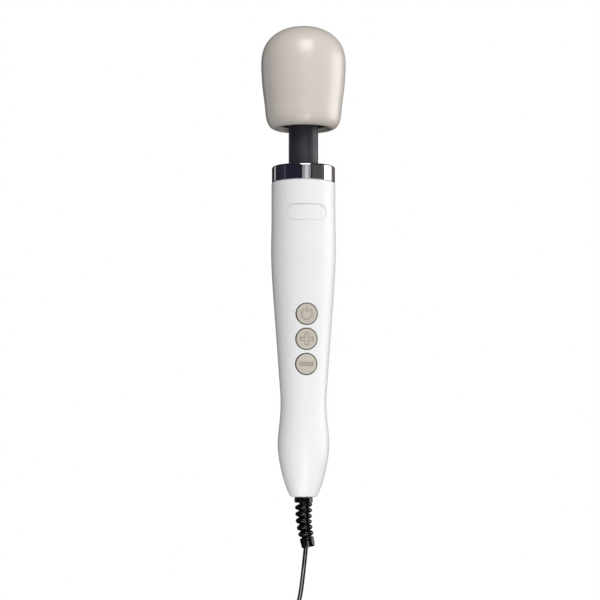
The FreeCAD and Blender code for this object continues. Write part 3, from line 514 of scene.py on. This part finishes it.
def spring_half(name, start, end):
    """Part of the drive spring, wound over both coupling noses, from a start to an end station in
    mm.
    """
    pitch = (SPRING_END - SPRING_START) / SPRING_TURNS
    path = []
    for s in np.arange(start, end + 1e-9, pitch / 24):
        a = 2 * math.pi * (s - SPRING_START) / pitch
        path.append(wand_point(SPRING_R * MM * math.cos(a), s * MM, SPRING_R * MM * math.sin(a)))
    half = swept_bar(name, path, SPRING_WIRE_R * MM, STEEL)
    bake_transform(half)
    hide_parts("drive_spring")


# ---------------------------------------------------------------- strain relief
RELIEF_END = 35.4
RELIEF_SLEEVE = 28.8
RELIEF_COLLAR_R = 6.5
RELIEF_FLANGE_R = 7.0
RELIEF_THROAT_R = 4.95
RELIEF_CAP_R = 0.2
LEFT_RIBS = [7.5 + 4.6 * k for k in range(5)]
RIGHT_RIBS = [5.4 + 4.15 * k for k in range(6)]
RIB_HALF = 2.3
RELIEF_LEAN = 0.2
RELIEF_KNEE = 18.0
KNEE_SPREAD = 3.0


def smooth_step(value, low, high):
    t = min(max((value - low) / (high - low), 0.0), 1.0)
    return t * t * (3 - 2 * t)


def relief_axis(depth):
    """Centre and heading of the relief at a depth below the handle's end, in mm."""
    u = depth - RELIEF_KNEE
    x = RELIEF_LEAN * (u + math.hypot(u, KNEE_SPREAD)) / 2
    slope = RELIEF_LEAN * (1 + u / math.hypot(u, KNEE_SPREAD)) / 2
    return Vector((x, -depth, 0)), Vector((slope, -1, 0)).normalized()


def rib_height(depth, ribs):
    """From 0 in the valleys between ribs to 1 on a crest."""
    near = min(abs(depth - r) for r in ribs)
    return 1 - min(near / RIB_HALF, 1.0) ** 2.3


def relief_radius(depth, side):
    """Radius at a depth, where side is 1 on the right and -1 on the left."""
    core = 3.1
    crest = 6.45 - 0.04 * depth
    left = rib_height(depth, LEFT_RIBS) * (1 - smooth_step(side, -0.1, 0.45))
    right = rib_height(depth, RIGHT_RIBS) * smooth_step(side, -0.4, 0.1)
    ribs = core + (crest - core) * max(left, right)
    collar = RELIEF_COLLAR_R * (1 - smooth_step(depth, 3.9, 4.6))
    return max(ribs, collar)


def strain_relief():
    """Flexible relief: a collar, half ribs on alternate sides, and a sleeve."""
    inside = [(-4.9, RELIEF_CAP_R), (-4.9, 6.6), (-4.5, RELIEF_FLANGE_R),
              (-3.0, RELIEF_FLANGE_R), (-2.65, 6.7), (-2.65, RELIEF_THROAT_R),
              (0.02, RELIEF_THROAT_R), (0.02, 6.0), (0.25, 6.35), (0.6, RELIEF_COLLAR_R),
              (1.5, RELIEF_COLLAR_R), (2.6, RELIEF_COLLAR_R)]
    ribbed = [(d, None) for d in np.arange(3.4, RELIEF_SLEEVE - 0.5, 0.14)]
    sleeve = [(RELIEF_SLEEVE - 0.3, 3.7), (RELIEF_SLEEVE, 4.5), (RELIEF_SLEEVE + 0.3, 4.9),
              (RELIEF_SLEEVE + 0.8, 5.02), (31.0, 4.95), (33.0, 4.83), (34.7, 4.74),
              (35.15, 4.62), (RELIEF_END, 4.4), (RELIEF_END, 4.1), (35.1, 3.9), (33.5, 3.8),
              (31.0, 3.7), (30.6, 3.4), (30.5, RELIEF_CAP_R)]
    count = 112
    points = []
    for depth, radius in inside + ribbed + sleeve:
        centre, heading = relief_axis(depth)
        side = Vector((-heading.y, heading.x, 0))
        for a in np.linspace(0, 2 * math.pi, count, endpoint=False):
            r = radius if radius is not None else relief_radius(depth, math.cos(a))
            p = centre + side * (r * math.cos(a)) + Vector((0, 0, r * math.sin(a)))
            points.append(wand_point(*(p * MM)))
    rows = len(points) // count
    faces = grid_faces(rows, count)
    faces.append(tuple(reversed(range(count))))
    faces.append(tuple(range(len(points) - count, len(points))))
    relief = add_mesh("strain_relief_ribbed", points, faces, RELIEF)
    sharp_by_angle(relief, 50)
    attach(relief, "handle")
    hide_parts("strain_relief")


# ---------------------------------------------------------------- cord
CORD_R = 1.6
CORD_ROUTE = [
    (2.2, -182.2, 15.2),
    (1.1, -194.0, 14.2),
    (-0.1, -208.0, 10.6),
    (-1.3, -222.0, 5.2),
    (-5.0, -236.0, 1.8),
    (-12.6, -248.4, 1.6),
    (-18.4, -261.5, 1.6),
]
CORD_END_ROUTE = [
    (-15.2, -261.5, 11.2),
    (-15.8, -274.5, 12.6),
    (-16.8, -287.0, 8.4),
    (-17.6, -298.5, 5.3),
    (-17.9, -309.0, 5.0),
]
COIL_CENTRE = (4.0, -261.5)
COIL_RADII = [22.4, 19.2, 16.0, 12.8]
COIL_LAYERS = 4
COIL_TURNS = 15
TURN_POINTS = 16
TIE_THICK = 0.8
# Angles in degrees round a turn: where it moves over to the next one, and how far
# from the middle of the strap it starts and stops lying on it.
CROSSING = (205, 355)
TIE_LIFT = (18, 75)
CLIMB_BULGE = 1.1


def coil_slots():
    """(radius, height) of each turn: layers wound inwards and outwards in turn."""
    slots = []
    for layer in range(COIL_LAYERS):
        radii = COIL_RADII if layer % 2 == 0 else COIL_RADII[::-1]
        slots += [(r, CORD_R + 2 * CORD_R * layer) for r in radii]
    return slots[:COIL_TURNS]


def coil_points():
    """The wound length, which starts and ends at the coil's left side."""
    slots = coil_slots()
    points = []
    for (r0, z0), (r1, z1) in zip(slots, slots[1:] + slots[-1:]):
        for k in range(TURN_POINTS):
            a = 360 * k / TURN_POINTS
            w = smooth_step(a, *CROSSING)
            r = r0 + (r1 - r0) * w
            if z1 > z0:
                outwards = 1 if r0 == COIL_RADII[0] else -1
                r += outwards * CLIMB_BULGE * math.sin(math.pi * w)
            lift = TIE_THICK * (1 - smooth_step(abs(a - 180), *TIE_LIFT))
            r /= math.cos(math.pi / TURN_POINTS)
            angle = math.radians(180 + a)
            points.append((COIL_CENTRE[0] + r * math.cos(angle),
                           COIL_CENTRE[1] + r * math.sin(angle), z0 + (z1 - z0) * w + lift))
    return points[1:]


def cord():
    """The whole lead as one spline: its route, the coil's turns and its far end."""
    curve = bpy.data.curves.new("cord", "CURVE")
    curve.dimensions = "3D"
    spline = curve.splines.new("NURBS")
    points = CORD_ROUTE + coil_points() + CORD_END_ROUTE
    spline.points.add(len(points) - 1)
    for spot, p in zip(spline.points, points):
        spot.co = (*(Vector(p) * MM), 1)
    spline.order_u = 3
    spline.use_endpoint_u = True
    spline.resolution_u = 4
    curve.bevel_depth = CORD_R * MM
    curve.bevel_resolution = 6
    curve.use_fill_caps = True
    curve.materials.append(CABLE)
    thing = bpy.data.objects.new("cord", curve)
    bpy.context.scene.collection.objects.link(thing)
    return thing


def coil_tie():
    """A hook-and-loop strap round the coil's right side, with a lapped end."""
    width, thick = 8.0, TIE_THICK
    low_x = COIL_CENTRE[0] + COIL_RADII[-1] - CORD_R
    high_x = COIL_CENTRE[0] + COIL_RADII[0] + CORD_R
    top = 2 * CORD_R * COIL_LAYERS + thick
    corner = 1.9
    first_end, last_from, last_end = low_x + 5.0, low_x + 4.0, low_x + 7.5
    lap_gap = 0.02
    path = []

    def arc(cx, cz, start, grow):
        for a in np.linspace(start, start + 90, 9):
            r = corner + grow
            path.append((cx + r * math.cos(math.radians(a)), cz + r * math.sin(math.radians(a))))

    def lap(grow):
        """Once round the section, outside it by grow."""
        corners = [(high_x - corner, thick + corner, 270), (high_x - corner, top - corner, 0),
                   (low_x + corner, top - corner, 90), (low_x + corner, thick + corner, 180)]
        for cx, cz, start in corners:
            arc(cx, cz, start, grow)

    half = thick / 2
    path.append((first_end, thick - half))
    lap(half)
    path.append((last_from, thick - half + lap_gap))
    path.append((last_end, thick - half + lap_gap))
    points = []
    section = [(-0.5, -0.36), (-0.5, 0.36), (-0.47, 0.5), (-0.2, 0.52), (0.0, 0.53), (0.2, 0.52),
               (0.47, 0.5), (0.5, 0.36), (0.5, -0.36), (0.47, -0.5), (0.0, -0.5), (-0.47, -0.5)]
    for i, (x, z) in enumerate(path):
        before, after = path[max(i - 1, 0)], path[min(i + 1, len(path) - 1)]
        heading = Vector((after[0] - before[0], after[1] - before[1])).normalized()
        normal = Vector((heading.y, -heading.x))
        for across, deep in section:
            p = Vector((x, z)) + normal * (deep * thick)
            points.append(Vector((p.x, COIL_CENTRE[1] + across * width, p.y)) * MM)
    count = len(section)
    faces = grid_faces(len(path), count)
    faces.append(tuple(reversed(range(count))))
    faces.append(tuple(range(len(points) - count, len(points))))
    tie = add_mesh("coil_tie_strap", points, faces, STRAP)
    sharp_by_angle(tie, 60)
    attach(tie, "handle")
    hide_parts("coil_tie")
    return tie


# ---------------------------------------------------------------- button symbols
INLAY_TOP, INLAY_BOTTOM = 0.10, -0.04


def inlay(name, patches, offset, body, finish=SYMBOL_WALL_SHADE, top=INLAY_TOP):
    """A thin plate in a symbol's recess; each patch is a grid of (x, y) in mm."""
    points, faces = [], []
    for rows in patches:
        count = len(rows[0])
        size = len(rows) * count
        first = len(points)
        for height in (INLAY_BOTTOM, top):
            for row in rows:
                points += [button_point(x, y + offset, height) for x, y in row]
        for i in range(len(rows) - 1):
            for j in range(count - 1):
                a = first + i * count + j
                quad = (a, a + 1, a + count + 1, a + count)
                faces.append(tuple(reversed(quad)))
                faces.append(tuple(v + size for v in quad))
        edge = [i * count for i in range(len(rows))]
        edge += [(len(rows) - 1) * count + j for j in range(1, count)]
        edge += [i * count + count - 1 for i in range(len(rows) - 2, -1, -1)]
        edge += list(range(count - 2, 0, -1))
        for a, b in zip(edge, edge[1:] + edge[:1]):
            faces.append((first + a, first + b, first + b + size, first + a + size))
    plate = add_mesh(name, points, faces, finish)
    sharp_by_angle(plate, 40)
    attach(plate, body)


def rectangle(x, y):
    """A grid over (low, high) pairs, fine enough to follow the shell."""
    return [[(a, b) for a in np.linspace(*x, 25)] for b in np.linspace(*y, 9)]


def plus_patches(inset):
    arm, wide, tall = 1.45 - inset, 4.75 - inset, 4.55 - inset
    return [rectangle((-wide, wide), (-arm, arm)), rectangle((-arm, arm), (arm, tall)),
            rectangle((-arm, arm), (-tall, -arm))]


def minus_patches(inset):
    return [rectangle((-4.85 + inset, 4.85 - inset), (-1.35 + inset, 1.35 - inset))]


def power_patches(inset):
    rows = []
    gap = 29.5 + 15 * inset
    for a in np.linspace(math.radians(90 + gap), math.radians(450 - gap), 73):
        rows.append([(r * math.cos(a), r * math.sin(a)) for r in (3.2 + inset, 3.75, 4.3 - inset)])
    return [rows, rectangle((-0.55 + inset, 0.55 - inset), (1.4 + inset, 5.0 - inset))]


def button_symbols():
    """Each symbol is a plate in painted shade with a lighter, higher middle, so that it has an
    outline of painted shade along its recess walls.
    """
    symbols = [("power", power_patches, 0.3, BUTTON_PITCH, SYMBOL_FILL),
               ("plus", plus_patches, 0.55, 0.0, SYMBOL_FILL),
               ("minus", minus_patches, 0.45, -BUTTON_PITCH, SYMBOL_TONE_AND_SHADE)]
    for name, patches, line, offset, finish in symbols:
        body = name + "_button"
        inlay(name + "_symbol", patches(0.03), offset, body)
        inlay(name + "_symbol_middle", patches(line), offset, body, finish, INLAY_TOP + 0.06)


# ---------------------------------------------------------------- studio
def looking(location, target, up):
    """Rotation that looks from a place at a target, with an up direction."""
    ahead = (target - location).normalized()
    side = ahead.cross(up).normalized()
    return Matrix((side, side.cross(ahead), -ahead)).transposed().to_4x4()


def place(thing, location, target, up):
    thing.matrix_world = Matrix.Translation(location) @ looking(location, target, up)
    bpy.context.scene.collection.objects.link(thing)


# The camera's place: degrees from straight above, towards the left and the cord end.
CAMERA_LEFT, CAMERA_TAILWARDS = 6.7, 7.4
CAMERA_DISTANCE = 1.4347
CAMERA_TARGET = (-0.0025, 0.14054, 0)


def camera():
    """A long lens above the handle, a little towards its left and its cord end."""
    data = bpy.data.cameras.new("camera")
    data.lens = 120
    data.sensor_width = 36
    data.clip_end = 30
    thing = bpy.data.objects.new("camera", data)
    target = wand_point(*CAMERA_TARGET)
    left, tailwards = math.radians(CAMERA_LEFT), math.radians(CAMERA_TAILWARDS)
    towards = Vector((-math.tan(left), -math.tan(tailwards), 1)).normalized()
    up = WAND.to_3x3() @ Vector((0, 1, 0))
    place(thing, target + towards * CAMERA_DISTANCE, target, up)
    bpy.context.scene.camera = thing


def softbox(name, across, along, distance, width, length, radiance, colour=(1, 1, 1), station=160):
    """A rectangular light; across and along are its direction's angles from straight up,
    towards +X and towards +Y, in degrees, seen from a station on the wand."""
    data = bpy.data.lights.new(name, "AREA")
    data.shape = "RECTANGLE"
    data.size = width
    data.size_y = length
    data.energy = radiance * math.pi * width * length
    data.color = colour
    thing = bpy.data.objects.new(name, data)
    target = wand_point(0, station * MM, 0)
    a, b = math.radians(across), math.radians(along)
    direction = Vector((math.sin(a) * math.cos(b), math.sin(b), math.cos(a) * math.cos(b)))
    place(thing, target + direction * distance, target, Vector((0, 1, 0)))
    thing.visible_camera = False


def lights():
    """Each line gives across, along, distance, width, length and radiance."""
    softbox("strip_right", 95, 8, 1.0, 0.73, 0.75, 3.1)
    softbox("top_back", 2, 44, 1.1, 0.55, 0.7, 5.7)
    softbox("overhead_core", 5, 6, 1.2, 0.26, 0.4, 0.55)
    softbox("overhead_wide", 4.5, 6, 1.25, 0.68, 0.45, 0.5)
    softbox("front_key", 3, -30, 1.3, 0.35, 0.5, 6.5)
    softbox("tail_fill", -14, -52, 0.34, 0.26, 0.2, 3.3, station=6)
    softbox("front_left", -60, -35, 0.7, 0.5, 0.5, 0.12)
    softbox("thin_left", -135, 4, 1.0, 0.2, 0.8, 0.75)
    softbox("card_left", -55, 6, 1.3, 2.1, 0.7, 0.05, (0.6, 0.6, 1.0))
    softbox("card_left_edge", -78, 8, 1.25, 0.22, 0.6, 0.09, (0.7, 0.7, 1.0))
    softbox("card_far_left", -112, 6, 1.0, 0.75, 0.7, 0.05, (0.75, 0.75, 1.0))
    softbox("card_right", 47, 6, 1.3, 1.05, 0.7, 0.13, (1.0, 0.95, 0.95))
    softbox("card_right_edge", 68, 6, 1.25, 0.12, 0.6, 0.12, (1.0, 0.98, 0.96))
    softbox("card_low", 130, 4, 1.1, 0.4, 0.7, 0.3, (1.0, 0.84, 0.74))


def stage():
    """A white floor and backdrop that only the camera sees."""
    size, corner, height, count = 6.0, 2.0, 8.0, 96
    profile = [(0.001, 0.0), (size, 0.0)]
    for a in np.radians(np.linspace(0, 90, 10)[1:]):
        profile.append((size + corner * math.sin(a), corner - corner * math.cos(a)))
    profile.append((size + corner, height))
    points = []
    for r, z in profile:
        for a in np.linspace(0, 2 * math.pi, count, endpoint=False):
            points.append(Vector((r * math.cos(a), r * math.sin(a), z)))
    faces = grid_faces(len(profile), count)
    faces.append(tuple(range(count)))
    m, _, shader = new_material("studio_white", (0.0, 0.0, 0.0), 1.0)
    shader.inputs["Specular IOR Level"].default_value = 0.0
    shader.inputs["Emission Color"].default_value = (1, 1, 1, 1)
    shader.inputs["Emission Strength"].default_value = 1.0
    floor = add_mesh("studio_floor", points, faces, m)
    floor.visible_diffuse = False
    floor.visible_glossy = False
    floor.visible_transmission = False
    floor.visible_shadow = False


def surroundings():
    """An even, faintly blue light from all sides that mirrors don't show."""
    world = bpy.data.worlds.new("surroundings")
    world.use_nodes = True
    background = world.node_tree.nodes["Background"]
    background.inputs["Color"].default_value = (0.97, 0.98, 1.0, 1)
    background.inputs["Strength"].default_value = 0.22
    world.cycles_visibility.glossy = False
    bpy.context.scene.world = world
    bpy.context.scene.view_settings.view_transform = "Standard"


# ---------------------------------------------------------------- assembly
def main():
    dress_cad_nodes()
    neck_halves()
    spring_half("drive_spring_lower", SPRING_START, NECK_SPLIT)
    spring_half("drive_spring_upper", NECK_SPLIT, SPRING_END)
    strain_relief()
    button_symbols()
    tie = coil_tie()
    lead = cord()
    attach(lead, "handle")
    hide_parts("cord_lead", "cord_coil", "cord_end")
    camera()
    lights()
    stage()
    surroundings()


main()
